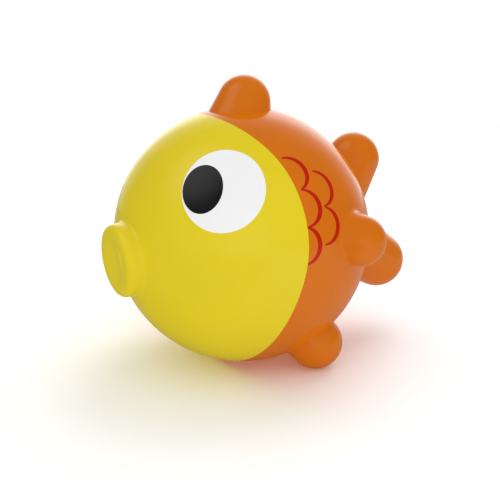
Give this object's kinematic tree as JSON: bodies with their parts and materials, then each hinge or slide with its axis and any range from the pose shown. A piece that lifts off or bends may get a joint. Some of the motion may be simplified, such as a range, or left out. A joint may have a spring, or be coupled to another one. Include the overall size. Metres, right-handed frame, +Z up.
{
  "type": "squeaky bath toy",
  "caption": "Hollow round fish bath toy in soft glossy vinyl, with a stubby round mouth, big eyes, rounded fins, a forked tail, curved scale lines and a reed squeaker in its belly.",
  "frame": {"origin": "centre of the squeaker's flat flange, on the plane that the toy stands on, straight below the centre of the round body", "axes": "-X is the way the face looks, -Y is the toy's left side, +Z is up"},
  "size_m": [0.1079, 0.088, 0.0895],
  "materials": {
    "face_vinyl": "glossy yellow vinyl",
    "body_vinyl": "glossy orange vinyl",
    "eye_white": "glossy white",
    "pupil_black": "glossy black",
    "line_red": "glossy red",
    "squeaker_plastic": "satin white moulded plastic",
    "reed_film": "clear plastic film"
  },
  "bodies": {
    "toy": {"face_shell": "face_vinyl", "rear_shell": "body_vinyl", "dorsal_fin": "body_vinyl", "tail_fin": "body_vinyl", "left_side_fin": "body_vinyl", "right_side_fin": "body_vinyl", "left_foot_fin": "body_vinyl", "right_foot_fin": "body_vinyl", "left_eye_white": "eye_white", "right_eye_white": "eye_white", "left_pupil": "pupil_black", "right_pupil": "pupil_black", "left_scale_lines": "line_red", "right_scale_lines": "line_red", "squeaker_case": "squeaker_plastic", "squeaker_cap": "squeaker_plastic", "reed_channel": "squeaker_plastic", "reed_clamp": "squeaker_plastic"},
    "reed": {"squeaker_reed": "reed_film"}
  },
  "joints": [
    {"name": "reed_flutter", "type": "hinge", "parent": "toy", "child": "reed", "pos_m": [0, 0, 0.005], "axis": [0, 1, 0], "range_deg": [-3.5, 3.5], "stiffness_Nm_per_rad": 0.004}
  ]
}
